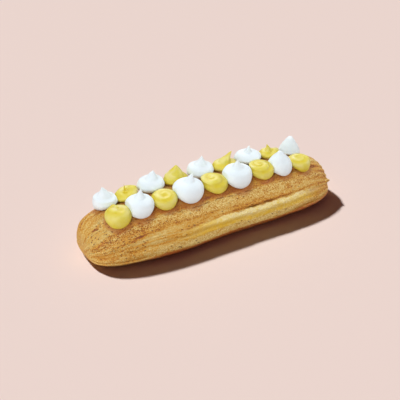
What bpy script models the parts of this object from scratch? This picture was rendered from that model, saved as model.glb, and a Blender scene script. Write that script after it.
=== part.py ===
"""A lemon meringue eclair: a finger of choux pastry with two rows of piped dollops on its crown.

The dollops alternate between white meringue and yellow lemon curd, in a checker pattern.
Units are metres and +Z is up. The pastry's length lies along X, and its split side faces -Y.
The origin is on the table, under the middle of the whole.
"""

import math

import bmesh
import bpy
import numpy as np
from mathutils import Vector

# The pastry's plain form, before its ridges.
LENGTH = 0.140
WIDTH = 0.0418
CROWN_HEIGHT = 0.0252
WAIST_HEIGHT = 0.0052
# How far the underside would reach below the table if the tray hadn't flattened it.
SAG_BELOW_TRAY = 0.0009
# Exponents of the rounded ends, the dome and the belly: 1 is an ellipse, and less is blunter.
END_BLUNTNESS = 0.49
DOME_BLUNTNESS = 0.90
BELLY_BLUNTNESS = 0.81

# Columns round the girth on the back, the front and each side of the flat underside, and stations along X.
BACK_COLUMNS = 17
FRONT_COLUMNS = 22
BELLY_COLUMNS = 5
STATIONS = 48

# Girth angles, in degrees: 0 faces +Y, 90 is the crown, 180 faces -Y, 270 is the underside.
# The columns start low on the back, and get wider apart past the foot of the front.
BACK_FOOT, CROWN, FRONT_FOOT, UNDERSIDE = -12, 90, 188, 270
# The underside is flat from this angle on, and as far from 270 on its other side.
FLAT_START = 236
# The share of the full girth at which the ridges are as deep as they get; they fade from there to each tip.
RIDGES_FULL = 0.45
# Furrows that the piping nozzle's teeth left: some run the whole length, and some fan out at the ends only.
LONG_FURROWS = (14, 33, 52, 128, 168)
END_FURROWS = (2, 24, 43, 64, 78, 92, 105, 117, 140, 160, 182)
FURROW_DEPTH = 0.0006
FURROW_SPREAD = 4.2
END_FAN_START = 0.030
END_FAN_LENGTH = 0.024
# The split along the front: the upper crust overhangs the paler dough that burst out below it.
SPLIT_ANGLE = 153
SPLIT_START, SPLIT_END = -0.020, 0.066
OPENS_OVER, CLOSES_OVER = 0.020, 0.015
SPLIT_DEPTH = 0.0011
SPLIT_SPREAD = 3.4
BURST_ANGLE = 161
BURST_BULGE = 0.0007
BURST_SPREAD = 5.0
# The front swells on the left and draws in right of the middle.
SWELL = 0.0009
SWELL_PLACES = ((-0.028, 1), (0.013, -1))
SWELL_SPREAD = 0.016
# It starts below the crown and is over before the foot: girth angles, and how many degrees each end takes.
SWELL_FROM, SWELL_TO = 120, 215
SWELL_RISE, SWELL_FALL = 50, 20
# A thin flake of crust stands out where the split runs off the right end.
FLAKE_REACH = 0.0017
FLAKE_ANGLE = 154
FLAKE_PLACE = 0.0664
FLAKE_WIDTH = 0.0018
FLAKE_SPREAD = 4.2

# The two rows of dollops.
PITCH = 0.01354
FRONT_OFFSET, BACK_OFFSET = -0.0065, 0.0070
ROW_START = -0.0005
GAP = 0.0003
SEGMENTS = 16
# Each dollop from left to right: how far it is off its even place along X and Y, its radius, its height as a
# share of its radius, and its tip's lean along X. Even places are meringue in the front row and curd in the
# back row.
FRONT_ROW = (
    (0.0017, 0.0000, 0.0067, 0.76, 0.0002),
    (-0.0005, 0.0000, 0.0072, 1.56, 0.0009),
    (-0.0006, 0.0000, 0.0066, 0.68, 0.0000),
    (-0.0009, 0.0000, 0.0079, 1.40, 0.0024),
    (0.0011, 0.0008, 0.0069, 0.70, 0.0000),
    (0.0003, 0.0000, 0.0078, 1.46, 0.0002),
    (0.0018, 0.0007, 0.0067, 0.76, 0.0000),
    (-0.0007, 0.0000, 0.0064, 1.69, -0.0004),
    (-0.0020, 0.0000, 0.0061, 0.70, 0.0000),
)
BACK_ROW = (
    (0.0009, 0.0000, 0.0063, 1.76, -0.0013),
    (-0.0019, 0.0000, 0.0062, 1.30, -0.0004),
    (-0.0012, 0.0000, 0.0071, 1.48, 0.0016),
    (-0.0007, 0.0000, 0.0064, 1.53, 0.0003),
    (0.0000, 0.0000, 0.0069, 1.60, 0.0011),
    (0.0004, 0.0000, 0.0065, 1.38, 0.0046),
    (0.0013, 0.0000, 0.0071, 1.34, 0.0010),
    (0.0011, 0.0000, 0.0055, 1.42, -0.0014),
    (0.0007, 0.0000, 0.0060, 1.82, 0.0005),
)
# The forms of the dollops, in shares of the radius: the foot's radius, the height of its widest ring, the dome's
# height over that ring, and the radius of the neck that runs up to the tip. Flare makes the neck hollower.
MERINGUE_FORM = {"foot": 0.72, "widest": 0.38, "dome": 0.46, "neck": 0.92, "flare": 1.5}
CURD_FORM = {"foot": 0.80, "widest": 0.36, "dome": 0.46, "neck": 0.56, "flare": 1.3}
FLAT_CURD_FORM = {"foot": 0.78, "widest": 0.30, "dome": 0.37, "neck": 0.30, "flare": 1.0}
# Rings: one in the foot, one under the widest ring, some at angles up the dome, some at shares of the neck.
FOOT_RING = 0.55
LOW_RING = 0.45
DOME_RINGS = (24, 44, 64)
NECK_RINGS = (0.32, 0.66)
# Over this height, in radii, a dollop no longer follows the crust that it sits on.
FOLLOWS_CRUST = 0.8
# Neighbours press on each other when their middles are nearer than this times the sum of their radii.
PRESS_REACH = 1.1
# A ridge winds round each dollop as it was piped.
SWIRL_TURNS = 1.4
MERINGUE_SWIRL = 0.012
CURD_SWIRL = 0.040

# Colour, roughness.
CRUST = ((0.56, 0.30, 0.09), 0.60)
MERINGUE = ((0.90, 0.92, 0.92), 0.45)
CURD = ((0.80, 0.64, 0.07), 0.32)


def bump(offset, spread):
    """A bell of height 1 at no offset."""
    return np.exp(-((offset / spread) ** 2))


def ease(share):
    """A smooth step from 0 to 1 as share goes from 0 to 1."""
    share = np.clip(share, 0, 1)
    return share * share * (3 - 2 * share)


def signed_power(value, exponent):
    return np.sign(value) * np.abs(value) ** exponent


def crust_relief(x, degrees):
    """How far the crust stands out of the plain form, at a place along X and a girth angle."""
    at_ends = ease((np.abs(x) - END_FAN_START) / END_FAN_LENGTH)
    furrows = sum(bump(degrees - angle, FURROW_SPREAD) for angle in LONG_FURROWS)
    furrows = furrows + at_ends * sum(bump(degrees - angle, FURROW_SPREAD) for angle in END_FURROWS)
    open_share = ease((x - SPLIT_START) / OPENS_OVER) * ease((SPLIT_END - x) / CLOSES_OVER)
    split = SPLIT_DEPTH * bump(degrees - SPLIT_ANGLE, SPLIT_SPREAD)
    burst = BURST_BULGE * bump(degrees - BURST_ANGLE, BURST_SPREAD)
    swell = SWELL * sum(sign * bump(x - place, SWELL_SPREAD) for place, sign in SWELL_PLACES)
    on_front = ease((degrees - SWELL_FROM) / SWELL_RISE) * ease((SWELL_TO - degrees) / SWELL_FALL)
    flake = FLAKE_REACH * bump(degrees - FLAKE_ANGLE, FLAKE_SPREAD) * bump(x - FLAKE_PLACE, FLAKE_WIDTH)
    return open_share * (burst - split) + on_front * swell + flake - FURROW_DEPTH * furrows


def choux_point(end_angle, girth_angle):
    """A superellipsoid whose underside the tray has flattened, with the crust's relief along its normal.

    end_angle runs from 0 at the left tip to pi at the right one.
    """
    along, share = np.cos(end_angle), np.sin(end_angle)
    across, rise = np.cos(girth_angle), np.sin(girth_angle)
    over = rise > 0
    blunt = np.where(over, DOME_BLUNTNESS, BELLY_BLUNTNESS)
    reach = np.where(over, CROWN_HEIGHT - WAIST_HEIGHT, WAIST_HEIGHT + SAG_BELOW_TRAY)
    narrowing = share**END_BLUNTNESS
    x = -LENGTH / 2 * signed_power(along, END_BLUNTNESS)
    y = WIDTH / 2 * signed_power(across, blunt) * narrowing
    z = WAIST_HEIGHT + reach * signed_power(rise, blunt) * narrowing
    # A superellipsoid's normal has the same form, with each exponent taken from 2 and each size inverted.
    widening = share ** (2 - END_BLUNTNESS)
    normal_x = -signed_power(along, 2 - END_BLUNTNESS) / (LENGTH / 2)
    normal_y = signed_power(across, 2 - blunt) * widening / (WIDTH / 2)
    normal_z = signed_power(rise, 2 - blunt) * widening / reach
    size = np.sqrt(normal_x**2 + normal_y**2 + normal_z**2)
    # The ridges run together and vanish at each tip.
    relief = crust_relief(x, np.degrees(girth_angle)) * ease(narrowing / RIDGES_FULL) / size
    return x + relief * normal_x, y + relief * normal_y, np.maximum(z + relief * normal_z, 0)


def crust_height(x, y):
    """The height of the plain crust over a place on the plan, which has to be over the pastry."""
    along = (np.abs(x) / (LENGTH / 2)) ** (1 / END_BLUNTNESS)
    narrowing = (1 - along**2) ** (END_BLUNTNESS / 2)
    across = (np.abs(y) / (WIDTH / 2 * narrowing)) ** (1 / DOME_BLUNTNESS)
    dome = (1 - across**2) ** (DOME_BLUNTNESS / 2)
    return WAIST_HEIGHT + (CROWN_HEIGHT - WAIST_HEIGHT) * narrowing * dome


def girth_columns():
    """Girth angles of the columns, closest together on the split front, once round."""
    return np.radians(
        np.concatenate(
            [
                np.linspace(BACK_FOOT, CROWN, BACK_COLUMNS, endpoint=False),
                np.linspace(CROWN, FRONT_FOOT, FRONT_COLUMNS, endpoint=False),
                np.linspace(FRONT_FOOT, FLAT_START, BELLY_COLUMNS),
                [UNDERSIDE],
                np.linspace(2 * UNDERSIDE - FLAT_START, 360 + BACK_FOOT, BELLY_COLUMNS),
            ]
        )
    )


def wrapped_grid(name, points, merge=0.00001):
    """A closed mesh from rows of points that go once round: each row's last point is its first one."""
    rows, columns = points.shape[:2]
    body = bmesh.new()
    bmesh.ops.create_grid(body, x_segments=rows - 1, y_segments=columns - 1, size=1)
    for vertex in body.verts:
        row = round((vertex.co.x + 1) / 2 * (rows - 1))
        column = round((vertex.co.y + 1) / 2 * (columns - 1))
        vertex.co = points[row, column]
    bmesh.ops.remove_doubles(body, verts=body.verts, dist=merge)
    bmesh.ops.dissolve_degenerate(body, edges=body.edges, dist=merge)
    bmesh.ops.recalc_face_normals(body, faces=body.faces)
    mesh = bpy.data.meshes.new(name)
    body.to_mesh(mesh)
    body.free()
    mesh.shade_smooth()
    node = bpy.data.objects.new(name, mesh)
    bpy.context.scene.collection.objects.link(node)
    return node


def make_choux():
    ends = np.linspace(0, math.pi, STATIONS)
    points = np.stack(np.broadcast_arrays(*choux_point(ends[:, None], girth_columns()[None, :])), axis=-1)
    points[:, -1] = points[:, 0]
    # Each end closes in one point.
    points[0] = points[0, 0]
    points[-1] = points[-1, 0]
    return wrapped_grid("choux", points)


def dollop_profile(radius, rise, form):
    """Radii and heights of the rings from the foot's rim to the tip.

    Below its widest ring the bulb is part of an ellipse that ends at the foot. Over it, a second ellipse
    runs into a hollow neck: the fourth root of the sum of both radii's fourth powers makes the soft shoulder.
    """
    widest, dome = form["widest"], form["dome"]
    up_dome = widest + dome * np.sin(np.radians(DOME_RINGS))
    up_neck = up_dome[-1] + (rise - up_dome[-1]) * np.array([*NECK_RINGS, 1])
    heights = np.concatenate([[0, widest * LOW_RING, widest], up_dome, up_neck])
    under = widest / math.sqrt(1 - form["foot"] ** 2)
    depth = np.where(heights < widest, under, dome)
    bulb = np.sqrt(np.clip(1 - ((heights - widest) / depth) ** 2, 0, 1))
    to_tip = np.clip((rise - heights) / (rise - widest), 0, 1)
    neck = np.where(heights > widest, form["neck"] * to_tip ** form["flare"], 0)
    return radius * np.minimum((bulb**4 + neck**4) ** (1 / 4), 1), radius * heights


def dollops():
    """Every dollop with its name, place, size and form, as a list of dictionaries."""
    found = []
    for row, offset, sizes in (("front", FRONT_OFFSET, FRONT_ROW), ("back", BACK_OFFSET, BACK_ROW)):
        for place, (shift_x, shift_y, radius, rise, lean) in enumerate(sizes, start=1):
            is_meringue = (place % 2 == 0) == (row == "front")
            curd_form = FLAT_CURD_FORM if row == "front" else CURD_FORM
            found.append(
                {
                    "name": f"{'meringue' if is_meringue else 'curd'}_{row}_{place}",
                    "is_meringue": is_meringue,
                    "form": MERINGUE_FORM if is_meringue else curd_form,
                    "x": ROW_START + (place - (len(sizes) + 1) / 2) * PITCH + shift_x,
                    "y": offset + shift_y,
                    "radius": radius,
                    "rise": rise,
                    "lean": lean,
                }
            )
    return found


def pressed(x, y, dollop, others):
    """Keeps a dollop's points on its own side of the flat faces where its neighbours press on it."""
    for other in others:
        away_x, away_y = other["x"] - dollop["x"], other["y"] - dollop["y"]
        distance = math.hypot(away_x, away_y)
        reach = dollop["radius"] + other["radius"]
        if other is dollop or distance > PRESS_REACH * reach:
            continue
        away_x, away_y = away_x / distance, away_y / distance
        wall = distance * dollop["radius"] / reach - GAP / 2
        past = np.maximum((x - dollop["x"]) * away_x + (y - dollop["y"]) * away_y - wall, 0)
        x, y = x - past * away_x, y - past * away_y
    return x, y


def make_dollop(dollop, others):
    radius = dollop["radius"]
    swirl = MERINGUE_SWIRL if dollop["is_meringue"] else CURD_SWIRL
    radii, heights = dollop_profile(radius, dollop["rise"], dollop["form"])
    # A middle ring and a centre point close the foot over the crust, and the tip is one point.
    radii = np.concatenate([[0, radii[0] * FOOT_RING], radii[:-1], [0]])[:, None]
    heights = np.concatenate([[0, 0], heights])[:, None]
    turn = np.linspace(0, 2 * math.pi, SEGMENTS + 1)
    climb = heights / heights[-1]
    radii = radii * (1 + swirl * np.cos(turn - 2 * math.pi * SWIRL_TURNS * climb))
    x = dollop["x"] + radii * np.cos(turn) + dollop["lean"] * climb**3
    y = dollop["y"] + radii * np.sin(turn)
    x, y = pressed(x, y, dollop, others)
    # The foot follows the crust, and the tip stands over the crust at the dollop's middle.
    settled = ease(heights / (FOLLOWS_CRUST * radius))
    base = crust_height(x, y) * (1 - settled) + crust_height(dollop["x"], dollop["y"]) * settled
    points = np.stack([x, y, base + heights + GAP], axis=-1)
    points[:, -1] = points[:, 0]
    points[0] = points[0].mean(axis=0)
    return wrapped_grid(dollop["name"], points)


def stand_on_origin(nodes):
    """Moves the whole so that the middle of its box's foot is the origin."""
    corners = np.array([vertex.co for node in nodes for vertex in node.data.vertices])
    low, high = corners.min(axis=0), corners.max(axis=0)
    shift = -(low[0] + high[0]) / 2, -(low[1] + high[1]) / 2, -low[2]
    for node in nodes:
        for vertex in node.data.vertices:
            vertex.co += Vector(shift)


def finish_of(name, colour, roughness):
    material = bpy.data.materials.new(name)
    material.use_nodes = True
    shader = material.node_tree.nodes["Principled BSDF"]
    shader.inputs["Base Color"].default_value = (*colour, 1)
    shader.inputs["Roughness"].default_value = roughness
    return material


def main():
    for leftover in list(bpy.data.objects):
        bpy.data.objects.remove(leftover)
    crust = finish_of("crust", *CRUST)
    meringue = finish_of("meringue", *MERINGUE)
    curd = finish_of("curd", *CURD)
    choux = make_choux()
    choux.data.materials.append(crust)
    nodes = [choux]
    everyone = dollops()
    for dollop in everyone:
        node = make_dollop(dollop, everyone)
        node.data.materials.append(meringue if dollop["is_meringue"] else curd)
        nodes.append(node)
    stand_on_origin(nodes)


main()
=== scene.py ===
"""A lemon meringue eclair, dressed over its solids.

The crust is one fine grid wrapped round a superellipsoid, with furrows, a split, a torn band of pale dough,
pores and cracks. Each dollop is a turned profile with a piped coil wound over it. Units are metres, +Z is
up, and the pastry's split side faces -Y.
"""

import itertools
import math

import bpy
import numpy as np
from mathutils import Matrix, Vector


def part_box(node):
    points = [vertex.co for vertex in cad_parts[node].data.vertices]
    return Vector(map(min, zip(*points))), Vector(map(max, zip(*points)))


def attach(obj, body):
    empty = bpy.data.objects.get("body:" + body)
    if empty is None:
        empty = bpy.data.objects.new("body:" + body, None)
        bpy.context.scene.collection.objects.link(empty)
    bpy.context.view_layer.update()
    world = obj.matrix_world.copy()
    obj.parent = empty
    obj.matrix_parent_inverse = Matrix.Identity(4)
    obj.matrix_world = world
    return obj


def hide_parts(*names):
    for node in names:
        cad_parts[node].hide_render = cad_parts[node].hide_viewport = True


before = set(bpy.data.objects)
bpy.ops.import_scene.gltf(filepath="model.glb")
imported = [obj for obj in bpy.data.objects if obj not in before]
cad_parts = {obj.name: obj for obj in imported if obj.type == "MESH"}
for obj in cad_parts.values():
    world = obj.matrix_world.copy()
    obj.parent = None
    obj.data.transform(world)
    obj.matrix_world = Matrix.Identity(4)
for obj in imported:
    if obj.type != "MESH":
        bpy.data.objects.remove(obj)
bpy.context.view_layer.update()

MM = 0.001

# The crust's plain form: its size is the solid's, and the exponents are 1 for an ellipse and less for
# blunter.
CHOUX_LOW, CHOUX_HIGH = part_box("choux")
LENGTH = CHOUX_HIGH[0] - CHOUX_LOW[0]
CROWN_HEIGHT = CHOUX_HIGH[2]
WIDTH = 41.8 * MM
MIDDLE_Y = CHOUX_HIGH[1] - WIDTH / 2
WAIST_HEIGHT = 5.2 * MM
SAG_BELOW_TRAY = 0.9 * MM
END_BLUNTNESS, DOME_BLUNTNESS, BELLY_BLUNTNESS = 0.49, 0.90, 0.81
STATIONS = 446
# Girth angles in degrees, from 0 at +Y over the crown at 90 to 180 at -Y, and the columns between them.
GIRTH_ARCS = ((-12, 96, 52), (96, 192, 146), (192, 348, 26))

# The furrows of the piping nozzle's teeth, as girth angles. Some only fan out at the ends.
LONG_FURROWS = (14, 33, 52, 128, 168)
END_FURROWS = (2, 24, 43, 64, 78, 92, 105, 117, 140, 160, 182)
FURROW_DEPTH, FURROW_SPREAD = 0.6 * MM, 4.2
END_FAN_START, END_FAN_LENGTH = 30 * MM, 24 * MM
# The split, the torn dough under it, and the flake at its right end.
SPLIT_ANGLE = 153
BURST_ANGLE, BURST_BULGE, BURST_SPREAD = 161, 0.7 * MM, 5.0
SWELL, SWELL_SPREAD = 0.9 * MM, 16 * MM
SWELL_PLACES = ((-28 * MM, 1), (13 * MM, -1))
FLAKE_ANGLE, FLAKE_PLACE, FLAKE_REACH = 154, 66.4 * MM, 1.7 * MM
# At each end the ridges bend down: by this many degrees, most at this girth angle and within these lengths.
FAN_BEND, FAN_ANGLE, FAN_SPREAD = {"left": 17.0, "right": 8.0}, 146, 22
FAN_FULL, FAN_NONE = 9 * MM, 31 * MM
# How brown the split side is at each girth angle, from 0 for pale to 1 for dark.
# The dark strip at 100 to 125 degrees, under the dollops, is browning with painted contact shade.
FRONT_TONES = (
    (88, 0.45), (100, 0.52), (113, 0.66), (125, 0.70), (127, 0.42), (130, 0.27), (136, 0.34), (143, 0.50),
    (151, 0.62), (156, 0.46), (163, 0.36), (168, 0.44), (173, 0.22), (178, 0.24), (182, 0.42), (188, 0.62),
)
# Browner streaks on it: how far along from the middle in mm, at which girth angle, their half length in mm,
# their half width in degrees, and how much browner they are.
STREAKS = (
    (-66, 131, 12, 3.4, 0.30), (-55, 150, 10, 3.6, 0.26), (-40, 168, 10, 2.8, 0.22),
    (-66, 107, 1.6, 2.2, 0.60), (-76, 104, 4, 3.0, 0.26), (-44.5, 137, 0.9, 9, 0.30),
    (-47, 148, 2.5, 1.8, 0.34), (-38, 121, 7, 2.5, 0.16), (-20, 145, 12, 3.0, 0.10),
    (3, 147, 18, 2.2, 0.10), (-12, 119, 6, 2.6, 0.14), (12, 120, 5, 2.2, 0.16),
    (36, 121, 9, 2.8, 0.10), (62, 151, 15, 2.2, 0.28), (60, 169, 9, 2.4, 0.22),
    (61, 113, 4, 3.0, 0.34), (66, 127, 6, 2.2, 0.22), (-80, 140, 4, 9, 0.20),
    (-71, 161, 6, 2.2, 0.20), (-47, 115, 2.5, 3.0, -0.22), (-21, 116, 3, 3.0, -0.22),
    (6, 113, 3, 2.6, -0.20), (33, 116, 3.5, 2.8, -0.20), (-7, 122, 1.0, 1.6, 0.40),
)
# Where the gash under the crust's edge opens: distance along from the middle in mm, half length, and depth
# share.
GASH_PARTS = ((5, 4, 0.25), (16, 4.2, 1.0), (26, 3.6, 0.85), (36, 3.5, 0.40), (46, 3, 0.20))

# The crust's sheet is as wide as a girth of this many mm in radius, and its dark pits lie one to a cell.
SHEET_RADIUS, PIT_CELL = 21, (1.7 * MM, 1.0 * MM)
# The relief's heights and depths. It fades where the girth is under this share of the full one.
LIP_HEIGHT, GASH_DEPTH, TEETH_HEIGHT, CRUMB_HEIGHT = 0.30 * MM, 1.10 * MM, 0.30 * MM, 0.24 * MM
STRETCH_HEIGHT, PORE_DEPTH, CRACK_DEPTH, LUMP_HEIGHT = 0.14 * MM, 0.26 * MM, 0.30 * MM, 0.28 * MM
RIDGES_FULL = 0.45
# The ring round each dollop: browner, and darkened with painted contact shade.
SHADE_AND_BROWNING_WIDTH = 1.8 * MM

# The dollops: place off its even one along X and Y, radius, height in radii, and the tip's lean along X, in
# mm.
PITCH, ROW_START = 13.54 * MM, -0.5 * MM
ROW_OFFSETS = {"front": -6.5 * MM, "back": 7.0 * MM}
ROWS = {
    "front": (
        (1.7, 0, 6.7, 0.76, 0.2),
        (-0.5, 0, 7.2, 1.56, 0.9),
        (-0.6, 0, 6.6, 0.68, 0.0),
        (-0.9, 0, 7.9, 1.40, 2.4),
        (1.1, 0.8, 6.9, 0.70, 0.0),
        (0.3, 0, 7.8, 1.46, 0.2),
        (1.8, 0.7, 6.7, 0.76, 0.0),
        (-0.7, 0, 6.4, 1.69, -0.4),
        (-2.0, 0, 6.1, 0.70, 0.0),
    ),
    "back": (
        (0.9, 0, 6.3, 1.76, -1.3),
        (-1.9, 0, 6.2, 1.30, -0.4),
        (-1.2, 0, 7.1, 1.48, 1.6),
        (-0.7, 0, 6.4, 1.53, 0.3),
        (0.0, 0, 6.9, 1.60, 1.1),
        (0.4, 0, 6.5, 1.38, 4.6),
        (1.3, 0, 7.1, 1.34, 1.0),
        (1.1, 0, 5.5, 1.42, -1.4),
        (0.7, 0, 6.0, 1.82, 0.5),
    ),
}
# Forms in shares of the radius, as in the solids: the foot, the widest ring's height, the dome over it and
# how blunt it is (2 for an ellipse), how wide the neck starts and how fast it narrows, the tip's radius,
# and how sharply dome and neck meet. The coil is how often the piped rope winds up, how deep its groove is,
# where up the side the groove crosses the front, and how crisp it is, from 0 for a soft wave to 1 for a
# groove under a lip.
FORMS = {
    "meringue": {
        "foot": 0.66, "widest": 0.44, "dome": 0.50, "blunt": 2.0, "neck": 0.78, "flare": 1.25, "tip": 0.035,
        "blend": 2.6, "coil": (2.4, 0.005, 0.5, 0.0),
    },
    "curd": {
        "foot": 0.78, "widest": 0.30, "dome": 0.38, "blunt": 2.6, "neck": 0.50, "flare": 1.2, "tip": 0.04,
        "blend": 3.4, "coil": (2.1, 0.05, 0.5, 0.7),
    },
}
# What sets single dollops apart from their kind. A cone is a kiss-shaped dollop's width per height left to
# its tip. An upper tier is its start, its shift along X and Y, and its growth. A dimple is its turn, its
# distance from the middle, its width and its depth. A corner is its turn, its height, its reach and its
# spread in degrees. A tilt is how far one side rises, and towards which turn. A curl is the power by which
# the lean gathers at the tip.
OWN_FORMS = {
    "curd_front_1": {
        "dome": 0.46, "blunt": 2.3, "neck": 0, "coil": (1.6, 0.020, 0.70, 0.4),
        "dimples": ((225, 0.50, 0.18, 0.035), (290, 0.25, 0.20, 0.04)), "corners": ((100, 0.72, 0.16, 16),),
    },
    "meringue_front_2": {"neck": 0.66},
    "curd_front_3": {
        "dome": 0.38, "neck": 0, "coil": (2.3, 0.030, 0.52, 0.7), "dimples": ((250, 0.22, 0.28, 0.10),),
    },
    "meringue_front_4": {"neck": 0.82, "tip": 0.06},
    "curd_front_5": {
        "dome": 0.40, "blunt": 2.4, "neck": 0, "coil": (2.2, 0.075, 0.40, 0.9),
        "tier": (0.34, -0.13, 0.08, -0.02), "dimples": ((150, 0.25, 0.20, 0.05),),
    },
    "meringue_front_6": {"neck": 0.90, "tip": 0.05},
    "curd_front_7": {
        "dome": 0.46, "neck": 0, "coil": (2.7, 0.065, 0.43, 0.9), "tier": (0.38, -0.10, 0.05, 0.0),
        "dimples": ((60, 0.10, 0.22, 0.06),),
    },
    "meringue_front_8": {"cone": 0.84, "flare": 1.08, "dome": 1.10, "widest": 0.48},
    "curd_front_9": {
        "dome": 0.40, "blunt": 3.0, "neck": 0, "coil": (2.2, 0.035, 0.58, 0.6),
        "dimples": ((60, 0.10, 0.26, 0.05),),
    },
    "meringue_back_1": {"neck": 0.74, "flare": 1.15, "tilt": (0.06, 180), "curl": 2.4},
    "curd_back_2": {
        "dome": 0.42, "neck": 0.26, "coil": (1.6, 0.06, 0.50, 0.8), "tilt": (0.22, 0),
        "corners": ((350, 0.62, 0.14, 26),), "dimples": ((250, 0.22, 0.24, 0.12),),
    },
    "meringue_back_3": {"neck": 0.84, "flare": 1.1, "dome": 0.46},
    "curd_back_4": {
        "dome": 0.40, "blunt": 2.0, "neck": 0.82, "flare": 0.95, "coil": (1.4, 0.04, 0.30, 0.6),
        "corners": ((10, 0.35, 0.10, 26), (185, 0.32, 0.10, 24)),
    },
    "meringue_back_5": {"neck": 0.84, "flare": 1.4},
    "curd_back_6": {
        "dome": 0.34, "neck": 0.62, "flare": 1.1, "coil": (1.6, 0.06, 0.42, 0.8),
        "corners": ((2, 0.36, 0.16, 20), (200, 0.34, 0.10, 18)), "curl": 2.0, "tip": 0.06,
    },
    "meringue_back_7": {"dome": 0.42, "neck": 0.74, "flare": 1.25, "corners": ((356, 0.40, 0.12, 18),)},
    "curd_back_8": {
        "dome": 0.40, "neck": 0.50, "flare": 1.2, "coil": (1.8, 0.05, 0.50, 0.8),
        "corners": ((0, 0.50, 0.18, 22),),
    },
    "meringue_back_9": {
        "cone": 0.62, "flare": 1.0, "dome": 1.30, "widest": 0.34, "coil": (5.0, 0.012, 0.5, 0.2),
    },
}
DOLLOP_RINGS, DOLLOP_SEGMENTS = 92, 104
FRONT_TURN = 240
# Neighbours press on each other within this share of their radii, with a soft bend where they do.
PRESS_REACH, PRESS_BEND = 1.1, 0.12 * MM
# Up to this height in radii a dollop follows the crust. Its rim is sunk into it, and its middle lies
# deeper.
FOLLOWS_CRUST, SUNK, FOOT_DEPTH = 0.8, 0.15 * MM, 0.3 * MM

# The soft lamps: name, azimuth, elevation, watts and width in metres.
SOFT_LIGHTS = (
    ("top", -95, 54, 12.5, 1.5),
    ("front", -36, 22, 6.4, 0.8),
    ("right", 78, 30, 7.4, 0.8),
    ("back", 160, 35, 8.5, 0.9),
)
SOFT_COLOUR = (0.96, 1.0, 1.03)
SOFT_DISTANCE = 1.2
# The shadow lamp: its azimuth and elevation, how wide it looks in degrees, and its strength.
SHADOW_FROM, SHADOW_SOFTNESS, SHADOW_ENERGY = (-157, 50), 5, 3.66
ROOM_COLOUR, ROOM_STRENGTH = (1.0, 0.42, 0.42), 0.070
FLOOR_COLOUR = (0.859, 0.722, 0.667)


# ---------------------------------------------------------------- noise and curves


def bump(offset, spread):
    """A bell of height 1 at no offset."""
    return np.exp(-((offset / spread) ** 2))


def ease(share):
    """A smooth step from 0 to 1 as share goes from 0 to 1."""
    share = np.clip(share, 0, 1)
    return share * share * (3 - 2 * share)


def between(value, low, high, soft):
    """1 between low and high, with soft edges of the given width."""
    return ease((value - low) / soft + 0.5) * ease((high - value) / soft + 0.5)


def signed_power(value, exponent):
    return np.sign(value) * np.abs(value) ** exponent


def scatter(cell, seed):
    """A number from 0 to 1 for each whole-number place, made by mixing the bits of its coordinates."""
    bits = (cell[..., 0] * 374761393 + cell[..., 1] * 668265263 + cell[..., 2] * 1442695041) & 0xFFFFFFFF
    bits = (bits + seed * 974711) & 0xFFFFFFFF
    bits = ((bits ^ (bits >> 13)) * 1274126177) & 0xFFFFFFFF
    bits = ((bits ^ (bits >> 16)) * 668265263) & 0xFFFFFFFF
    return ((bits ^ (bits >> 15)) & 0xFFFFFF) / 0xFFFFFF


def noise(points, size, seed):
    """Smooth noise from -1 to 1: a lattice of random numbers, blended between its corners by smooth steps."""
    scaled = points / np.asarray(size)
    cell = np.floor(scaled).astype(np.int64)
    share = ease(scaled - cell)
    total = 0
    for corner in itertools.product((0, 1), repeat=3):
        weight = np.prod(np.where(np.array(corner) == 1, share, 1 - share), axis=-1)
        total = total + weight * scatter(cell + np.array(corner), seed)
    return 2 * total - 1


def rough(points, size, seed, layers=3):
    """Noise with finer and fainter layers added, each of half the size and a little over half the height."""
    total, height = 0, 1
    for layer in range(layers):
        total = total + height * noise(points, np.asarray(size) / 2**layer, seed + layer)
        height *= 0.55
    return total


def cells(points, size, seed):
    """The distance to the nearest of points strewn one to a cell, and that point's own number."""
    scaled = points / np.asarray(size)
    home = np.floor(scaled).astype(np.int64)
    first = np.full(scaled.shape[:-1], 9.0)
    number = first.copy()
    for step in itertools.product((-1, 0, 1), repeat=3):
        cell = home + np.array(step)
        spot = np.stack([cell[..., k] + scatter(cell, seed + 7 * k) for k in range(3)], axis=-1)
        away = np.sqrt(((scaled - spot) ** 2).sum(axis=-1))
        nearer = away < first
        number = np.where(nearer, scatter(cell, seed + 31), number)
        first = np.minimum(first, away)
    return first, number


# ---------------------------------------------------------------- meshes


def flat_rows(grid):
    """A grid's values with each end row taken as one pole: pole, inner rows, pole."""
    inner = grid[1:-1].reshape(-1, *grid.shape[2:])
    return np.concatenate([grid[:1, 0], inner, grid[-1:, 0]])


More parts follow.
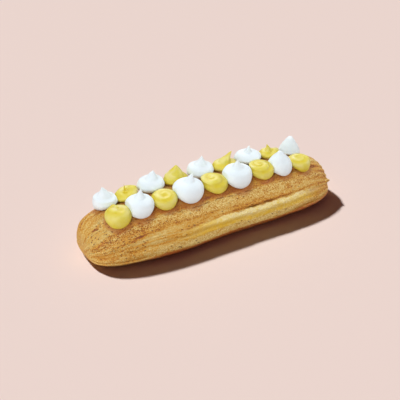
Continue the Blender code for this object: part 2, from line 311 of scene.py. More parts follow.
def closed_surface(name, points, masks=None):
    """A closed mesh from rows of points that run round it. Its faces are quads, with a fan at each pole."""
    rows, columns = points.shape[0] - 2, points.shape[1]
    verts = flat_rows(points)
    ring = np.arange(rows)[:, None] * columns + 1
    here = np.arange(columns)[None, :]
    after = (here + 1) % columns
    lower, upper = ring[:-1], ring[1:]
    quads = np.stack([lower + here, lower + after, upper + after, upper + here], axis=-1).reshape(-1, 4)
    last = len(verts) - 1
    here, after = here[0], after[0]
    start_fan = np.stack([0 * here, 1 + after, 1 + here], axis=-1)
    end_fan = np.stack([0 * here + last, ring[-1] + here, ring[-1] + after], axis=-1)
    fans = np.concatenate([start_fan, end_fan])
    # The volume under the quads tells whether the faces point out.
    corner = [verts[quads[:, k]] for k in range(4)]
    volume = (corner[0] * np.cross(corner[1], corner[2]) + corner[0] * np.cross(corner[2], corner[3])).sum()
    if volume < 0:
        quads, fans = quads[:, ::-1], fans[:, ::-1]
    mesh = bpy.data.meshes.new(name)
    mesh.from_pydata(verts.tolist(), [], quads.tolist() + fans.tolist())
    for mask, values in (masks or {}).items():
        if values.ndim == 3:
            attribute = mesh.attributes.new(mask, "FLOAT_VECTOR", "POINT")
            attribute.data.foreach_set("vector", flat_rows(values).astype(np.float32).ravel())
        else:
            values = np.broadcast_to(values, points.shape[:2])
            attribute = mesh.attributes.new(mask, "FLOAT", "POINT")
            attribute.data.foreach_set("value", flat_rows(values).astype(np.float32))
    mesh.shade_smooth()
    piece = bpy.data.objects.new(name, mesh)
    bpy.context.scene.collection.objects.link(piece)
    return piece


def dress(piece, node, material):
    """Lets a piece stand for its solid, with its material."""
    piece.data.materials.append(material)
    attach(piece, "root")
    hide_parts(node)
    return piece


# ---------------------------------------------------------------- the crust's form


def plain_crust(end_angle, girth_angle):
    """A superellipsoid's point and outward unit normal.

    x is the length times a power of the cosine of the end angle. y and z are the width and height times
    powers of the girth angle's cosine and sine, narrowed by a power of the end angle's sine. The normal has
    the same form, with each exponent taken from 2 and each size inverted.
    """
    along, share = np.cos(end_angle), np.sin(end_angle)
    across, rise = np.cos(girth_angle), np.sin(girth_angle)
    over = rise > 0
    blunt = np.where(over, DOME_BLUNTNESS, BELLY_BLUNTNESS)
    reach = np.where(over, CROWN_HEIGHT - WAIST_HEIGHT, WAIST_HEIGHT + SAG_BELOW_TRAY)
    narrowing = share**END_BLUNTNESS
    point = (
        -LENGTH / 2 * signed_power(along, END_BLUNTNESS),
        WIDTH / 2 * signed_power(across, blunt) * narrowing,
        WAIST_HEIGHT + reach * signed_power(rise, blunt) * narrowing,
    )
    widening = share ** (2 - END_BLUNTNESS)
    normal = (
        -signed_power(along, 2 - END_BLUNTNESS) / (LENGTH / 2),
        signed_power(across, 2 - blunt) * widening / (WIDTH / 2),
        signed_power(rise, 2 - blunt) * widening / reach,
    )
    point = np.stack(np.broadcast_arrays(*point), axis=-1)
    normal = np.stack(np.broadcast_arrays(*normal), axis=-1)
    return point, normal / np.linalg.norm(normal, axis=-1, keepdims=True)


def crust_height(x, y):
    """The height of the plain crust over a place on the plan, with y measured from the pastry's middle."""
    along = np.clip(np.abs(x) / (LENGTH / 2), 0, 1) ** (1 / END_BLUNTNESS)
    narrowing = np.maximum((1 - along**2) ** (END_BLUNTNESS / 2), 0.05)
    across = np.clip(np.abs(y) / (WIDTH / 2 * narrowing), 0, 0.98) ** (1 / DOME_BLUNTNESS)
    dome = (1 - across**2) ** (DOME_BLUNTNESS / 2)
    return WAIST_HEIGHT + (CROWN_HEIGHT - WAIST_HEIGHT) * narrowing * dome


def even_stations(count):
    """End angles whose points lie evenly along the front shoulder, and each one's distance along it."""
    dense = np.linspace(0, math.pi, 6001)
    line, _ = plain_crust(dense, np.full_like(dense, math.radians(135)))
    steps = np.linalg.norm(np.diff(line, axis=0), axis=1)
    travelled = np.append(0, np.cumsum(steps))
    wanted = np.linspace(0, travelled[-1], count)
    return np.interp(wanted, travelled, dense), wanted - travelled[-1] / 2


def crust_relief(along, degrees, point):
    """How far the crust stands out of its plain form, and the masks that its colours follow.

    along is the distance along the crust from its middle and degrees the girth angle. The relief is a sum
    of bells across the furrows and the split, times soft steps along them, with noise for the rest.
    """
    x = point[..., 0]
    half = np.abs(along).max()
    from_tip = half - np.abs(along)
    sheet = np.stack([along, np.radians(degrees) * SHEET_RADIUS * MM, 0 * along], axis=-1)
    fan = ease((FAN_NONE - from_tip) / (FAN_NONE - FAN_FULL)) * bump(degrees - FAN_ANGLE, FAN_SPREAD)
    bent = degrees - np.where(along < 0, FAN_BEND["left"], FAN_BEND["right"]) * fan
    bent = bent + 1.3 * noise(sheet, (17 * MM, 60 * MM, 1), 3) + 0.6 * noise(sheet, (5 * MM, 20 * MM, 1), 4)
    # Patterns drawn out along the pastry live on a sheet of distance along by distance round, which bends
    # too.
    sheet = np.stack([along, np.radians(bent) * SHEET_RADIUS * MM, 0 * along], axis=-1)
    at_ends = ease((np.abs(x) - END_FAN_START) / END_FAN_LENGTH)
    left_end = ease((-x - 34 * MM) / (18 * MM))
    # Ridges run together and fade near each tip.
    apart = ease((from_tip - 4 * MM) / (12 * MM))
    depth = np.clip(1 + 0.55 * noise(sheet, (10 * MM, 8 * MM, 1), 5), 0.2, 2) * apart
    long_furrow = sum(bump(bent - angle, FURROW_SPREAD) for angle in LONG_FURROWS) * depth
    long_furrow = long_furrow * (1 - 0.5 * bump(bent - 128, 8) * (1 - at_ends))
    dough_share = ease((x + 34 * MM) / (32 * MM)) * ease((66 * MM - x) / (26 * MM))
    long_furrow = long_furrow * (1 - 0.7 * bump(bent - 168, 8) * dough_share)
    end_furrow = sum(bump(bent - angle, FURROW_SPREAD * 0.85) for angle in END_FURROWS) * depth * at_ends
    furrow = long_furrow + end_furrow

    # The split: a ragged gash with a lip over it and torn dough under it.
    ragged = rough(sheet, (2.4 * MM, 50 * MM, 1), 11, 3)
    gash_at = SPLIT_ANGLE + 0.5 + 0.8 * noise(sheet, (14 * MM, 60 * MM, 1), 9)
    open_share = ease((x + 12 * MM) / (18 * MM)) * ease((60 * MM - x) / (22 * MM))
    widest = sum(share * bump(along - place * MM, reach * MM) for place, reach, share in GASH_PARTS)
    gash = bump(bent - gash_at - 0.45 * ragged, 1.2) * np.clip(widest, 0, 1)
    lip = bump(bent - gash_at + 3.4, 2.6) * open_share
    dough = ease((bent - gash_at - 1.4 - 1.5 * ragged) / 1.3) * ease((174 - bent - 0.8 * ragged) / 3.5)
    dough = dough * dough_share
    burst = BURST_BULGE * bump(bent - BURST_ANGLE, BURST_SPREAD) * dough_share
    crumb = rough(point, 1.9 * MM, 81, 3)
    teeth = np.clip(rough(sheet, (1.9 * MM, 2.6 * MM, 1), 83, 2), -1, 1)
    teeth = teeth * bump(bent - gash_at - 4.0, 2.6) * dough_share

    # Stretch marks run on to the left of the split, where the crust didn't quite open.
    stretched = between(bent, 146, 172, 5) * ease((14 * MM - x) / (20 * MM)) * ease((x + 58 * MM) / (16 * MM))
    stripes = noise(sheet, (24 * MM, 1.5 * MM, 1), 21) + 0.6 * noise(sheet, (12 * MM, 0.7 * MM, 1), 22)
    stripes = np.clip(1.5 * stripes, -1.3, 1.3)

    # Pores and crumb-sized roughness, coarser on the ridges, and a broken crack along the wide ridge's
    # edge.
    pebble = rough(point, 0.85 * MM, 31, 3)
    furrowed = np.clip(furrow, 0, 1)
    on_ridges = between(bent, 99, 190, 12) * (1 - furrowed) * (1 - dough)
    first, number = cells(sheet, (1.7 * MM, 1.1 * MM, 1), 41)
    rows = ease(noise(sheet, (9 * MM, 1.6 * MM, 1), 42) * 2.0 - 0.2)
    pored = np.clip(rows + 0.5 * left_end * (number > 0.6), 0, 1)
    pores = ease((0.30 - first) / 0.10) * (number > 0.35) * pored
    first, number = cells(sheet, (3.0 * MM, 2.0 * MM, 1), 45)
    holes = ease((0.24 - first) / 0.08) * (number > 0.40)
    holes = holes * ease((-x - 38 * MM) / (12 * MM)) * between(bent, 96, 150, 10)
    pores = np.maximum(pores, holes * ease((from_tip - 7 * MM) / (5 * MM)))
    crack_share = ease(noise(sheet, (2.6 * MM, 30 * MM, 1), 51) * 2.4 + 0.3)
    crack_at = 128.6 + 1.5 * rough(sheet, (2.2 * MM, 40 * MM, 1), 52, 3)
    crack = bump(bent - crack_at, 0.7) * crack_share * (1 - 0.8 * at_ends)

    swell = SWELL * sum(sign * bump(x - place, SWELL_SPREAD) for place, sign in SWELL_PLACES)
    swell = swell * ease((degrees - 120) / 50) * ease((215 - degrees) / 20)
    flake = FLAKE_REACH * bump(degrees - FLAKE_ANGLE, 3.0) * bump(x - FLAKE_PLACE, 1.4 * MM)
    lumps = LUMP_HEIGHT * rough(point, 13 * MM, 71, 2)
    relief = (
        burst
        + swell
        + flake
        + lumps
        + LIP_HEIGHT * lip
        - GASH_DEPTH * gash
        - FURROW_DEPTH * furrow
        + CRUMB_HEIGHT * dough * crumb
        + TEETH_HEIGHT * teeth
        + STRETCH_HEIGHT * stretched * stripes
        + (0.05 + 0.07 * on_ridges) * MM * pebble
        - PORE_DEPTH * pores * on_ridges
        - CRACK_DEPTH * crack
    )

    # Browning, from 0 for pale to 1 for dark: by girth angle, and darker in furrows and streaks.
    # Under the dollops these tones hold painted contact shade as well as browning.
    front = np.interp(bent + 0.8 * ragged, *zip(*FRONT_TONES))
    seen = ease((bent - 88) / 14) * ease((200 - bent) / 8)
    toast = (front * (1 - at_ends) + 0.36 * at_ends) * seen + 0.42 * (1 - seen)
    toast = toast + (0.08 + 0.20 * at_ends) * np.clip(furrow, 0, 1.3)
    for place, angle, length, width, browner in STREAKS:
        away = (along - place * MM) / (length * MM)
        toast = toast + browner * np.exp(-(away**4)) * bump(bent - angle - 0.5 * ragged, width)
    streaks = noise(sheet, (7 * MM, 1.2 * MM, 1), 95) + 0.7 * noise(sheet, (3.5 * MM, 0.8 * MM, 1), 96)
    patches = rough(sheet, (10 * MM, 4 * MM, 1), 91, 3)
    toast = toast + 0.10 * patches + 0.10 * streaks + 0.22 * stretched * stripes
    smooth = np.clip(0.9 * stretched + 1.4 * bump(bent - 119, 7) + ease((toast - 0.5) / 0.3), 0, 1)
    toast = toast + 0.20 * bump(bent - gash_at + 1.6, 1.8) * open_share + 0.08 * ease(1 - from_tip / (7 * MM))
    tone = 0.16 + 0.62 * ease((bent - 161) / 8) + 0.30 * ease(-x / (16 * MM)) + 0.22 * crumb
    pitted = 0.04 + 0.85 * left_end * between(bent, 96, 168, 12) * ease((from_tip - 6 * MM) / (8 * MM))
    pitted = np.clip(pitted + 0.6 * bump(bent - 162, 2.5) * bump(along + 48 * MM, 7 * MM), 0, 1)
    crazed = np.clip(0.50 + 0.50 * bump(bent - 134, 9) + 0.3 * bump(bent - 175, 5), 0, 1)
    base = ease((bent - 180 - 8 * left_end - 1.8 * ragged) / 6) * ease((235 - bent) / 10)
    masks = {
        "toast": np.clip(toast, 0, 1),
        "crazed": crazed * (1 - 0.65 * smooth),
        "pitted": pitted * seen * (1 - dough),
        "dough": np.clip(dough * (0.97 + 0.15 * crumb), 0, 1),
        "dough_tone": np.clip(tone + 0.12 * noise(sheet, (9 * MM, 1.6 * MM, 1), 97), 0, 1),
        # The gash mask also carries painted shade in the split.
        "gash": np.clip(1.1 * gash, 0, 1),
        "pits": np.clip(pores * on_ridges + 0.8 * crack, 0, 1),
        "base": base * (1 - 0.5 * left_end),
        "skin": sheet,
    }
    return relief, masks


def shade_and_browning_ring(x, y, everyone):
    """1 on the crust under the dollops, 0 a few millimetres past their feet: browning and painted shade."""
    shade = 0
    for dollop in everyone:
        away = np.hypot(x - dollop["x"], y - dollop["y"]) - dollop["radius"]
        shade = np.maximum(shade, ease(1 - away / SHADE_AND_BROWNING_WIDTH))
    return shade


def make_crust(everyone, material):
    ends, along = even_stations(STATIONS)
    arcs = [np.linspace(low, high, count, endpoint=False) for low, high, count in GIRTH_ARCS]
    degrees = np.concatenate(arcs)[None, :] + 0 * ends[:, None]
    along = along[:, None] + 0 * degrees
    point, normal = plain_crust(ends[:, None], np.radians(degrees))
    # The ring of browning and painted contact shade round the dollops, kept to the crown.
    browning_and_shade_rings = shade_and_browning_ring(point[..., 0], point[..., 1], everyone) * ease((point[..., 2] - 12 * MM) / (4 * MM))
    relief, masks = crust_relief(along, degrees, point)
    masks["contact_shade_and_browning"] = browning_and_shade_rings
    narrowing = np.sin(ends)[:, None] ** END_BLUNTNESS
    relief = relief * ease(narrowing / RIDGES_FULL)
    point = point + relief[..., None] * normal
    point[..., 1] += MIDDLE_Y
    point[..., 2] = np.maximum(point[..., 2], 0)
    return dress(closed_surface("choux_crust", point, masks), "choux", material)


# ---------------------------------------------------------------- the dollops' form


def dollop_list():
    """Every dollop with its name, kind, place, size and form, as a list of dictionaries."""
    found = []
    for row, sizes in ROWS.items():
        for place, (shift_x, shift_y, radius, rise, lean) in enumerate(sizes, start=1):
            kind = "meringue" if (place % 2 == 0) == (row == "front") else "curd"
            name = f"{kind}_{row}_{place}"
            found.append(
                {
                    **FORMS[kind],
                    **OWN_FORMS[name],
                    "name": name,
                    "kind": kind,
                    "x": ROW_START + (place - (len(sizes) + 1) / 2) * PITCH + shift_x * MM,
                    "y": ROW_OFFSETS[row] + shift_y * MM,
                    "radius": radius * MM,
                    "rise": rise,
                    "lean": lean * MM,
                    "seed": 100 * place + (7 if row == "front" else 53),
                }
            )
    return found


def dollop_profile(form, count):
    """Radii, heights and outward directions of evenly spaced rings from the foot's rim to the tip.

    Below its widest ring the bulb is part of an ellipse that ends at the foot, and over it a blunter or
    sharper ellipse. The neck narrows by a power of the height left to its rounded tip. A root of the sum of
    their powers joins them, as a soft greater one of both. A kiss has a cone in place of the neck, and the
    soft lesser one.
    """
    widest, dome, blunt, blend = (form[key] for key in ("widest", "dome", "blunt", "blend"))
    top = form["rise"] if form["neck"] else widest + dome
    climb = np.concatenate(
        [
            np.linspace(0, widest, 60, endpoint=False),
            widest + (top - widest) * np.sin(np.linspace(0, math.pi / 2, 400)),
        ]
    )
    under = widest / math.sqrt(1 - form["foot"] ** 2)
    below = np.sqrt(np.clip(1 - ((widest - climb) / under) ** 2, 0, 1))
    above = np.clip(1 - (np.clip(climb - widest, 0, dome) / dome) ** blunt, 0, 1) ** (1 / blunt)
    bulb = np.where(climb < widest, below, above)
    left = np.clip(top - climb, 0, None)
    tip = form["tip"] * np.sqrt(np.clip(1 - (1 - left / top) ** 16, 0, 1))
    if "cone" in form:
        cone = form["cone"] * left ** form["flare"] + tip
        radii = bulb * cone / (bulb**4 + cone**4 + 1e-12) ** (1 / 4)
    elif form["neck"]:
        neck = (form["neck"] * left ** form["flare"] + tip) * ease((climb - widest) / (0.9 * dome))
        radii = (bulb**blend + neck**blend) ** (1 / blend)
    else:
        radii = bulb
    radii = radii / radii.max()
    radii[-1] = 0
    travelled = np.append(0, np.cumsum(np.hypot(np.diff(radii), np.diff(climb))))
    wanted = np.linspace(0, travelled[-1], count)
    radii, climb = np.interp(wanted, travelled, radii), np.interp(wanted, travelled, climb)
    step_out, step_up = np.gradient(radii), np.gradient(climb)
    size = np.hypot(step_out, step_up)
    return radii, climb, step_up / size, -step_out / size


def coil_groove(share, turn, coil):
    """Two masks: 1 in the groove of a rope wound up the surface, and 1 on the rope's ridge, for a painted
    highlight.

    The groove climbs by one winding for each turn. A crisp one is a bell under the next winding's lip, with
    the rope's back sloping in slowly below it, and a soft one is a cosine.
    """
    turns, _, front_share, crisp = coil
    wound = (turns * (share - front_share) - (turn - math.radians(FRONT_TURN)) / (2 * math.pi)) % 1
    wave = 0.5 + 0.5 * np.cos(2 * math.pi * wound)
    lip = np.maximum(np.exp(-((wound / 0.13) ** 2)), ease((wound - 0.50) / 0.50) ** 1.6)
    return crisp * lip + (1 - crisp) * wave, (1 - wave) ** 1.5


def facing(turn, degrees, spread):
    """A bell over the turns near one, in degrees."""
    away = (np.degrees(turn) - degrees + 180) % 360 - 180
    return bump(away, spread)


def soft_positive(value, width):
    """value where it is well over 0, and 0 where it is well under, with a smooth bend between."""
    return width * np.logaddexp(0, value / width)


def pressed(x, y, dollop, everyone):
    """Keeps a dollop's points on its own side of the faces where its neighbours press on it."""
    for other in everyone:
        away_x, away_y = other["x"] - dollop["x"], other["y"] - dollop["y"]
        distance = math.hypot(away_x, away_y)
        reach = dollop["radius"] + other["radius"]
        if other is dollop or distance > PRESS_REACH * reach:
            continue
        away_x, away_y = away_x / distance, away_y / distance
        wall = distance * dollop["radius"] / reach
        past = soft_positive((x - dollop["x"]) * away_x + (y - dollop["y"]) * away_y - wall, PRESS_BEND)
        x, y = x - past * away_x, y - past * away_y
    return x, y


def make_dollop(dollop, everyone, material):
    """The turned profile, pushed out and in by its coil, corner, dimple and noise, and set on the crust."""
    radius, seed = dollop["radius"], dollop["seed"]
    radii, climb, outward, upward = (part[:, None] for part in dollop_profile(dollop, DOLLOP_RINGS))
    turn = np.linspace(0, 2 * math.pi, DOLLOP_SEGMENTS, endpoint=False)[None, :]
    share = np.linspace(0, 1, DOLLOP_RINGS)[:, None]
    across, along = radii * np.cos(turn), radii * np.sin(turn)
    ball = np.stack(np.broadcast_arrays(across, along, climb), axis=-1)

    groove, crest_highlight = coil_groove(share, turn, dollop["coil"])
    groove = groove * ease(share / 0.22) * ease((1 - share) / 0.20)
    groove = groove * (0.8 + 0.35 * noise(ball, 1.1, seed + 5))
    # The rope's ridge mask, broken up by noise, carries a painted highlight.
    crest_highlight = crest_highlight * ease(0.5 + 1.2 * noise(ball, (0.5, 0.5, 0.25), seed + 6)) * ease(share / 0.5)
    relief = -dollop["coil"][1] * groove
    relief = relief + 0.030 * noise(ball, 0.9, seed) * ease((1 - share) / 0.3)
    relief = relief + 0.008 * rough(ball, 0.35, seed + 1, 2) * ease((1 - share) / 0.2)
    for corner_turn, height, reach, spread in dollop.get("corners", ()):
        relief = relief + reach * facing(turn, corner_turn, spread) * bump(climb - height, 0.16)
    for dimple_turn, place, width, depth in dollop.get("dimples", ()):
        from_x = across - place * math.cos(math.radians(dimple_turn))
        from_y = along - place * math.sin(math.radians(dimple_turn))
        dimple = bump(np.hypot(from_x, from_y), width) * (climb > dollop["widest"])
        relief = relief - depth * dimple
        groove, crest_highlight = np.maximum(groove, dimple), crest_highlight * (1 - dimple)

    out, up = radii + relief * outward, climb + relief * upward
    x, y = out * np.cos(turn), out * np.sin(turn)
    if "tier" in dollop:
        start, shift_x, shift_y, growth = dollop["tier"]
        over = ease((share - start - 0.05 * np.cos(turn - math.radians(FRONT_TURN))) / 0.10)
        x, y = x * (1 + growth * over) + shift_x * over, y * (1 + growth * over) + shift_y * over
    if "tilt" in dollop:
        rise_by, rise_turn = dollop["tilt"]
        side = x * math.cos(math.radians(rise_turn)) + y * math.sin(math.radians(rise_turn))
        up = up + rise_by * side * ease(climb / 0.7)
    neck_share = np.clip((climb - dollop["widest"]) / (climb.max() - dollop["widest"]), 0, 1)
    x = dollop["x"] + radius * x + dollop["lean"] * neck_share ** dollop.get("curl", 2.0)
    y, up = dollop["y"] + radius * y, radius * up
    x, y = pressed(x, y, dollop, everyone)
    settled = ease(up / (FOLLOWS_CRUST * radius))
    base = crust_height(x, y) * (1 - settled) + crust_height(dollop["x"], dollop["y"]) * settled
    point = np.stack([x, y + MIDDLE_Y, base + up - SUNK * (1 - settled)], axis=-1)
    # The foot closes under the dollop, inside the crust.
    middle = point[:1].mean(axis=1, keepdims=True) - np.array([0, 0, FOOT_DEPTH])
    foot = [middle + (point[:1] - middle) * part for part in (0, 0.5)]
    point = np.concatenate([*foot, point])
    masks = {"groove": np.clip(groove, 0, 1), "crest_highlight": crest_highlight}
    masks = {mask: np.concatenate([0 * turn, 0 * turn, values]) for mask, values in masks.items()}
    piece = closed_surface(f"{dollop['name']}_piped", point, masks)
    return dress(piece, dollop["name"], material)


# ---------------------------------------------------------------- materials


def link(tree, source, target):
    tree.links.new(source, target)


def make_group(name, inputs, outputs):
    """An empty node group with float sockets of these names, and its two ends."""
    group = bpy.data.node_groups.new(name, "ShaderNodeTree")
    for socket in inputs:
        group.interface.new_socket(socket, in_out="INPUT", socket_type="NodeSocketFloat")
    for socket in outputs:
        group.interface.new_socket(socket, in_out="OUTPUT", socket_type="NodeSocketFloat")
    return group, group.nodes.new("NodeGroupInput"), group.nodes.new("NodeGroupOutput")


def grain_group():
    """Fine grain for every surface: a tone from 0 to 1 round a half, and the height that goes with it."""
    group, given, result = make_group("fine_grain", ("Scale", "Contrast"), ("Tone", "Height"))
    place = group.nodes.new("ShaderNodeTexCoord")
    fine = group.nodes.new("ShaderNodeTexNoise")
    fine.inputs["Detail"].default_value = 3
    fine.inputs["Roughness"].default_value = 0.6
    link(group, place.outputs["Object"], fine.inputs["Vector"])
    link(group, given.outputs["Scale"], fine.inputs["Scale"])
    centred = maths(group, "SUBTRACT", fine.outputs["Fac"], 0.5)
    tone = maths(group, "MULTIPLY_ADD", centred, given.outputs["Contrast"], 0.5, clamp=True)
    link(group, tone, result.inputs["Tone"])
    link(group, fine.outputs["Fac"], result.inputs["Height"])
    return group


def crackle_group():
    """A skin crazed into flecks: their tone and their height, high in the middle and low in the cracks."""
    group, given, result = make_group("crackle", ("Scale", "Warp"), ("Fleck", "Height"))
    place = group.nodes.new("ShaderNodeTexCoord")
    drift = group.nodes.new("ShaderNodeTexNoise")
    drift.inputs["Detail"].default_value = 1
    link(group, place.outputs["Object"], drift.inputs["Vector"])
    link(group, maths(group, "MULTIPLY", given.outputs["Scale"], 0.6), drift.inputs["Scale"])
    shift = group.nodes.new("ShaderNodeVectorMath")
    shift.operation = "SCALE"
    link(group, drift.outputs["Color"], shift.inputs[0])
    link(group, given.outputs["Warp"], shift.inputs["Scale"])
    warped = group.nodes.new("ShaderNodeVectorMath")
    warped.operation = "ADD"
    link(group, place.outputs["Object"], warped.inputs[0])
    link(group, shift.outputs[0], warped.inputs[1])
    flecks = group.nodes.new("ShaderNodeTexVoronoi")
    flecks.feature = "F1"
    link(group, warped.outputs[0], flecks.inputs["Vector"])
    link(group, given.outputs["Scale"], flecks.inputs["Scale"])
    middle = maths(group, "MULTIPLY_ADD", flecks.outputs["Distance"], -1.35, 1.0, clamp=True)
    link(group, middle, result.inputs["Height"])
    split = group.nodes.new("ShaderNodeSeparateColor")
    link(group, flecks.outputs["Color"], split.inputs[0])
    own = maths(group, "MULTIPLY_ADD", split.outputs[0], 0.5, -0.05)
    link(group, maths(group, "MULTIPLY_ADD", middle, 0.6, own, clamp=True), result.inputs["Fleck"])
    return group


def new_material(name):
    material = bpy.data.materials.new(name)
    material.use_nodes = True
    return material, material.node_tree, material.node_tree.nodes["Principled BSDF"]


def add_group(tree, group, **values):
    """Places a node group in a material with its own values."""
    node = tree.nodes.new("ShaderNodeGroup")
    node.node_tree = group
    for name, value in values.items():
        node.inputs[name].default_value = value
    return node


def tones(tree, amount, *stops):
    """A colour that runs through stops of a place from 0 to 1 and a colour."""
    ramp = tree.nodes.new("ShaderNodeValToRGB")
    points = ramp.color_ramp.elements
    while len(points) < len(stops):
        points.new(0.5)
    for point, (place, colour) in zip(points, stops):
        point.position = place
        point.color = (*colour, 1)
    link(tree, amount, ramp.inputs["Fac"])
    return ramp.outputs["Color"]


def mask(tree, name):
    attribute = tree.nodes.new("ShaderNodeAttribute")
    attribute.attribute_name = name
    return attribute.outputs["Fac"]


def blend(tree, below, above, amount, mode="MIX"):
    """Mixes two colours, each a socket or three numbers, by an amount that is a socket or a number."""
    mix = tree.nodes.new("ShaderNodeMix")
    mix.data_type = "RGBA"
    mix.blend_type = mode
    sockets = {"Factor": mix.inputs[0], "A": mix.inputs[6], "B": mix.inputs[7]}
    for key, given in (("Factor", amount), ("A", below), ("B", above)):
        if isinstance(given, bpy.types.NodeSocket):
            link(tree, given, sockets[key])
        elif key == "Factor":
            sockets[key].default_value = given
        else:
            sockets[key].default_value = (*given, 1)
    return mix.outputs[2]


def maths(tree, operation, *values, clamp=False):
    """One sum on sockets or numbers."""
    node = tree.nodes.new("ShaderNodeMath")
    node.operation = operation
    node.use_clamp = clamp
    for socket, given in zip(node.inputs, values):
        if isinstance(given, bpy.types.NodeSocket):
            link(tree, given, socket)
        else:
            socket.default_value = given
    return node.outputs[0]


def rough_skin(tree, shader, height, strength, distance):
    relief = tree.nodes.new("ShaderNodeBump")
    relief.inputs["Strength"].default_value = strength
    relief.inputs["Distance"].default_value = distance
    link(tree, height, relief.inputs["Height"])
    link(tree, relief.outputs["Normal"], shader.inputs["Normal"])


def skin_place(tree, along, across):
    """Places on the crust's own sheet, counted in cells of this length along it and this width round it."""
    attribute = tree.nodes.new("ShaderNodeAttribute")
    attribute.attribute_name = "skin"
    stretch = tree.nodes.new("ShaderNodeVectorMath")
    stretch.operation = "DIVIDE"
    link(tree, attribute.outputs["Vector"], stretch.inputs[0])
    stretch.inputs[1].default_value = (along, across, 1)
    return stretch.outputs[0]


def skin_streaks(tree, across, along):
    """Noise drawn out along the crust's ridges, on its own sheet of distances."""
    streaks = tree.nodes.new("ShaderNodeTexNoise")
    streaks.inputs["Scale"].default_value = 1
    streaks.inputs["Detail"].default_value = 3
    streaks.inputs["Roughness"].default_value = 0.6
    link(tree, skin_place(tree, along, across), streaks.inputs["Vector"])
    return maths(tree, "SUBTRACT", streaks.outputs["Fac"], 0.5)


def dark_pits(tree):
    """1 in small dark holes strewn over the crust's sheet, one to a cell, where it is pitted enough."""
    holes = tree.nodes.new("ShaderNodeTexVoronoi")
    holes.inputs["Scale"].default_value = 1
    link(tree, skin_place(tree, *PIT_CELL), holes.inputs["Vector"])
    parts = tree.nodes.new("ShaderNodeSeparateColor")
    link(tree, holes.outputs["Color"], parts.inputs[0])
    hole = maths(tree, "MULTIPLY_ADD", holes.outputs["Distance"], -9.0, 2.9, clamp=True)
    present = maths(tree, "LESS_THAN", parts.outputs[0], maths(tree, "MULTIPLY", mask(tree, "pitted"), 0.8))
    return maths(tree, "MULTIPLY", maths(tree, "MULTIPLY", hole, present), 0.85)


def crust_finish(grain_kind, crackle_kind):
    """Baked choux: crazed tan ridges that brown to orange, pale torn dough, a red-brown base and pits."""
    material, tree, shader = new_material("baked_choux")
    grain = add_group(tree, grain_kind, Scale=1500, Contrast=2.4)
    crackle = add_group(tree, crackle_kind, Scale=2100, Warp=0.0004)
    flecks = maths(tree, "MULTIPLY_ADD", crackle.outputs["Fleck"], -1.25, 0.56)
    flecks = maths(tree, "MULTIPLY", flecks, mask(tree, "crazed"))
    specks = maths(tree, "MULTIPLY_ADD", grain.outputs["Tone"], -0.44, 0.22)
    fine = maths(tree, "ADD", flecks, specks)
    streaked = maths(tree, "MULTIPLY_ADD", skin_streaks(tree, 0.7 * MM, 4 * MM), 0.55, fine)
    browned = maths(tree, "ADD", mask(tree, "toast"), streaked, clamp=True)
    skin = tones(
        tree,
        browned,
        (0.00, (0.78, 0.60, 0.23)),
        (0.30, (0.62, 0.43, 0.130)),
        (0.62, (0.60, 0.290, 0.026)),
        (0.86, (0.40, 0.130, 0.014)),
        (1.00, (0.22, 0.055, 0.012)),
    )
    crumbs = maths(tree, "MULTIPLY_ADD", fine, 0.9, mask(tree, "dough_tone"), clamp=True)
    dough = tones(
        tree,
        crumbs,
        (0.00, (0.86, 0.74, 0.38)),
        (0.40, (0.79, 0.60, 0.16)),
        (0.95, (0.74, 0.46, 0.035)),
    )
    colour = blend(tree, skin, dough, mask(tree, "dough"))
    # Painted contact shade and browning: a dark red-brown ring round the dollops' feet.
    colour = blend(tree, colour, (0.36, 0.095, 0.020), maths(tree, "MULTIPLY", mask(tree, "contact_shade_and_browning"), 0.60))
    base = maths(tree, "MULTIPLY_ADD", skin_streaks(tree, 12 * MM, 1.6 * MM), 1.2, 0.80)
    base = maths(tree, "MULTIPLY", mask(tree, "base"), base, clamp=True)
    colour = blend(tree, colour, (0.40, 0.095, 0.018), base)
    # Painted shade in the split: the gash darkens to a deep brown line under the lip.
    colour = blend(tree, colour, (0.24, 0.095, 0.006), mask(tree, "gash"))
    colour = blend(tree, colour, (0.13, 0.036, 0.010), mask(tree, "pits"))
    colour = blend(tree, colour, (0.16, 0.040, 0.010), dark_pits(tree))
    link(tree, colour, shader.inputs["Base Color"])
    shader.inputs["Specular IOR Level"].default_value = 0.35
    link(tree, maths(tree, "MULTIPLY_ADD", mask(tree, "toast"), -0.22, 0.68), shader.inputs["Roughness"])
    height = maths(tree, "ADD", crackle.outputs["Height"], grain.outputs["Height"])
    rough_skin(tree, shader, height, 0.8, 0.16 * MM)
    return material


def meringue_finish(grain_kind):
    """Soft white meringue with the faintest grain, and painted grey shade in its coil's grooves."""
    material, tree, shader = new_material("soft_meringue")
    grain = add_group(tree, grain_kind, Scale=900, Contrast=1.2)
    colour = blend(tree, (0.75, 0.83, 0.85), (0.80, 0.88, 0.90), grain.outputs["Tone"])
    # Painted shade: grey in the coil's grooves.
    colour = blend(tree, colour, (0.68, 0.74, 0.75), maths(tree, "MULTIPLY", mask(tree, "groove"), 0.4))
    link(tree, colour, shader.inputs["Base Color"])
    shader.inputs["Roughness"].default_value = 0.5
    shader.inputs["Specular IOR Level"].default_value = 0.3
    shader.inputs["Subsurface Weight"].default_value = 0.3
    shader.inputs["Subsurface Radius"].default_value = (1.0, 0.9, 0.85)
    shader.inputs["Subsurface Scale"].default_value = 1.2 * MM
    rough_skin(tree, shader, grain.outputs["Height"], 0.15, 0.15 * MM)
    return material


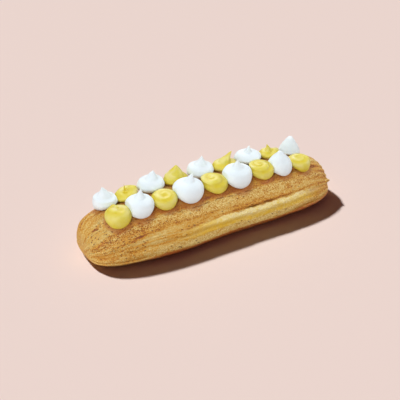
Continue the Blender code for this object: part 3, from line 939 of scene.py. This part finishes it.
def curd_finish(grain_kind):
    """Glossy set lemon curd, more saturated in its grooves, with a painted pale highlight on its crests."""
    material, tree, shader = new_material("lemon_curd")
    grain = add_group(tree, grain_kind, Scale=320, Contrast=2.2)
    colour = blend(tree, (0.64, 0.54, 0.035), (0.69, 0.61, 0.12), grain.outputs["Tone"])
    # Painted highlight: pale yellow along the coil's ridges.
    colour = blend(tree, colour, (0.74, 0.67, 0.25), maths(tree, "MULTIPLY", mask(tree, "crest_highlight"), 0.70))
    colour = blend(tree, colour, (0.63, 0.49, 0.008), maths(tree, "MULTIPLY", mask(tree, "groove"), 0.9))
    link(tree, colour, shader.inputs["Base Color"])
    shader.inputs["Roughness"].default_value = 0.46
    shader.inputs["Specular IOR Level"].default_value = 0.45
    shader.inputs["Subsurface Weight"].default_value = 0.3
    shader.inputs["Subsurface Radius"].default_value = (1.0, 0.8, 0.15)
    shader.inputs["Subsurface Scale"].default_value = 1.5 * MM
    rough_skin(tree, shader, grain.outputs["Height"], 0.10, 0.2 * MM)
    return material


# ---------------------------------------------------------------- floor, light and camera


def make_floor():
    mesh = bpy.data.meshes.new("floor")
    half = 3
    corners = [(-half, -half, 0), (half, -half, 0), (half, half, 0), (-half, half, 0)]
    mesh.from_pydata(corners, [], [(0, 1, 2, 3)])
    floor = bpy.data.objects.new("floor", mesh)
    bpy.context.scene.collection.objects.link(floor)
    material, _, shader = new_material("pale_floor")
    shader.inputs["Base Color"].default_value = (*FLOOR_COLOUR, 1)
    shader.inputs["Roughness"].default_value = 0.9
    shader.inputs["Specular IOR Level"].default_value = 0.1
    mesh.materials.append(material)
    return floor


def direction(azimuth, elevation):
    """A unit vector from the object: azimuth 0 is towards -Y and 90 towards +X, in degrees."""
    turn, lift = math.radians(azimuth), math.radians(elevation)
    return Vector((math.sin(turn) * math.cos(lift), -math.cos(turn) * math.cos(lift), math.sin(lift)))


def add_light(name, kind, azimuth, elevation, energy, size, distance=1.0):
    data = bpy.data.lights.new(name, kind)
    data.energy = energy
    if kind == "SUN":
        data.angle = size
    else:
        data.shape = "DISK"
        data.size = size
    lamp = bpy.data.objects.new(name, data)
    towards = direction(azimuth, elevation)
    lamp.location = towards * distance
    lamp.rotation_euler = towards.to_track_quat("Z", "Y").to_euler()
    bpy.context.scene.collection.objects.link(lamp)
    return lamp


def make_lights(pieces, floor):
    """A hard lamp throws the crust's shadow on the floor, and broad soft ones light only the pastry."""
    lit = {}
    for name, receivers in (("floor", [floor]), ("pastry", pieces), ("crust", pieces[:1])):
        lit[name] = bpy.data.collections.new(f"lit_{name}")
        for receiver in receivers:
            lit[name].objects.link(receiver)
    shadow = add_light("shadow", "SUN", *SHADOW_FROM, SHADOW_ENERGY, math.radians(SHADOW_SOFTNESS))
    shadow.light_linking.receiver_collection = lit["floor"]
    shadow.light_linking.blocker_collection = lit["crust"]
    for name, azimuth, elevation, energy, size in SOFT_LIGHTS:
        lamp = add_light(name, "AREA", azimuth, elevation, energy, size, SOFT_DISTANCE)
        lamp.data.color = SOFT_COLOUR
        lamp.light_linking.receiver_collection = lit["pastry"]
    world = bpy.data.worlds.new("studio")
    world.use_nodes = True
    world.node_tree.nodes["Background"].inputs["Color"].default_value = (*ROOM_COLOUR, 1)
    world.node_tree.nodes["Background"].inputs["Strength"].default_value = ROOM_STRENGTH
    bpy.context.scene.world = world


def make_camera():
    """Looks down on the split side from the left. The aim is a little off the middle, which frames it low."""
    data = bpy.data.cameras.new("camera")
    distance, azimuth, elevation = 0.470, -30, 33.5
    data.sensor_width = 36
    data.lens = 81.0
    data.clip_start = 0.01
    camera = bpy.data.objects.new("camera", data)
    back = direction(azimuth, elevation)
    right = Vector((math.cos(math.radians(azimuth)), math.sin(math.radians(azimuth)), 0))
    up = back.cross(right)
    aim = -4.2 * MM * right + 11.0 * MM * up
    camera.location = back * distance
    camera.rotation_euler = (camera.location - aim).to_track_quat("Z", "Y").to_euler()
    bpy.context.scene.collection.objects.link(camera)
    bpy.context.scene.camera = camera


def main():
    grain_kind, crackle_kind = grain_group(), crackle_group()
    finishes = {"meringue": meringue_finish(grain_kind), "curd": curd_finish(grain_kind)}
    everyone = dollop_list()
    pieces = [make_crust(everyone, crust_finish(grain_kind, crackle_kind))]
    for dollop in everyone:
        pieces.append(make_dollop(dollop, everyone, finishes[dollop["kind"]]))
    make_lights(pieces, make_floor())
    make_camera()
    bpy.context.scene.view_settings.view_transform = "Standard"


main()
